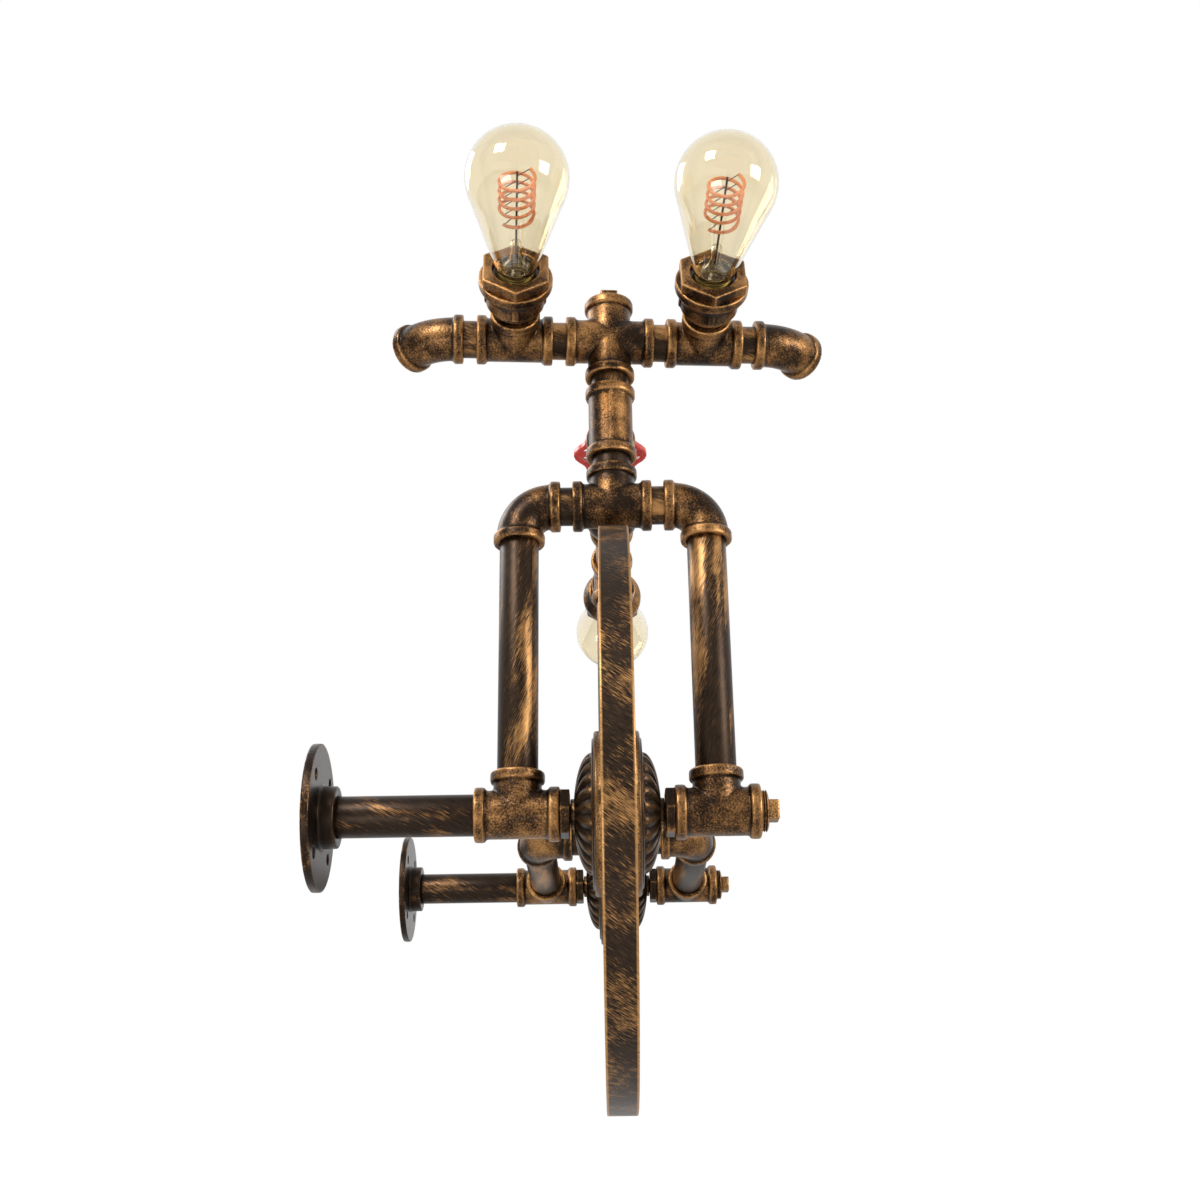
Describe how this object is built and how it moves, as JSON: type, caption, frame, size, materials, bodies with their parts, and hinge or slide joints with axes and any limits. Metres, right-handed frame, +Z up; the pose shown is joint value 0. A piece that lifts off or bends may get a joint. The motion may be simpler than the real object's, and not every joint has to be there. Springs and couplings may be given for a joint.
{
  "type": "wall light",
  "caption": "Bicycle-shaped wall light of bronzed pipe fittings, with amber bulbs, spoked wheels that spin, a red valve handwheel and screw-on wall flanges.",
  "frame": {"origin": "centre of the front wall flange's back face, on the wall", "axes": "+Z up, +Y into the wall, +X from the front wheel to the rear wheel"},
  "size_m": [0.7572, 0.3334, 0.5885],
  "materials": {
    "bronzed_iron": "antique bronze rubbed over black, mottled, copper on the collar edges",
    "brushed_pipe": "black with diagonal dry-brushed copper streaks",
    "wheel_iron": "black flat bar, dry-brushed copper, copper edges",
    "hub_cover": "black pressed sheet with copper on its ridges",
    "axle_steel": "darkened steel",
    "amber_glass": "clear amber glass",
    "dark_bakelite": "moulded dark brown bakelite",
    "cap_brass": "satin brass",
    "clear_glass": "clear glass",
    "filament": "orange coated filament",
    "red_paint": "glossy red enamel"
  },
  "bodies": {
    "frame": {"front_inner_tee": "bronzed_iron", "front_outer_tee": "bronzed_iron", "rear_inner_tee": "bronzed_iron", "rear_outer_tee": "bronzed_iron", "front_inner_elbow": "bronzed_iron", "front_outer_elbow": "bronzed_iron", "rear_inner_elbow": "bronzed_iron", "rear_outer_elbow": "bronzed_iron", "crown_tee": "bronzed_iron", "rear_crown_tee": "bronzed_iron", "head_tee": "bronzed_iron", "cross": "bronzed_iron", "bar_inner_tee": "bronzed_iron", "bar_outer_tee": "bronzed_iron", "bar_inner_end": "bronzed_iron", "bar_outer_end": "bronzed_iron", "inner_bell": "bronzed_iron", "outer_bell": "bronzed_iron", "tail_bell": "bronzed_iron", "lamp_hexes": "bronzed_iron", "seat_tee": "bronzed_iron", "valve_body": "bronzed_iron", "front_flange": "brushed_pipe", "rear_flange": "brushed_pipe", "front_wall_pipe": "brushed_pipe", "rear_wall_pipe": "brushed_pipe", "front_inner_leg": "brushed_pipe", "front_outer_leg": "brushed_pipe", "rear_inner_leg": "brushed_pipe", "rear_outer_leg": "brushed_pipe", "crown_nipples": "brushed_pipe", "stem_nipples": "brushed_pipe", "bar_nipples": "brushed_pipe", "lamp_nipples": "brushed_pipe", "backbone_front_pipe": "brushed_pipe", "backbone_rear_pipe": "brushed_pipe", "seat_tube": "brushed_pipe", "axle_bushes": "brushed_pipe", "end_plugs": "brushed_pipe", "cross_plug": "brushed_pipe", "valve_bonnet": "brushed_pipe", "front_axle": "axle_steel", "rear_axle": "axle_steel", "inner_bulb": "amber_glass", "outer_bulb": "amber_glass", "tail_bulb": "amber_glass", "lampholders": "dark_bakelite", "bulb_caps": "cap_brass", "bulb_stems": "clear_glass", "filaments": "filament"},
    "front_wheel": {"front_rim": "wheel_iron", "front_spokes": "wheel_iron", "front_hub_covers": "hub_cover"},
    "rear_wheel": {"rear_rim": "wheel_iron", "rear_spokes": "wheel_iron", "rear_hub_covers": "hub_cover"},
    "handwheel_set": {"spindle": "cap_brass", "handwheel": "red_paint", "handwheel_nut": "cap_brass"}
  },
  "joints": [
    {"name": "front_wheel_spin", "type": "hinge", "parent": "frame", "child": "front_wheel", "pos_m": [0, -0.185, 0], "axis": [0, 1, 0], "continuous": true},
    {"name": "rear_wheel_spin", "type": "hinge", "parent": "frame", "child": "rear_wheel", "pos_m": [0.43219, -0.185, -0.01151], "axis": [0, 1, 0], "continuous": true},
    {"name": "handwheel_turn", "type": "hinge", "parent": "frame", "child": "handwheel_set", "pos_m": [0.17868, -0.185, 0.24629], "axis": [0.4924, 0, 0.8704], "range_deg": [0, 270]}
  ]
}
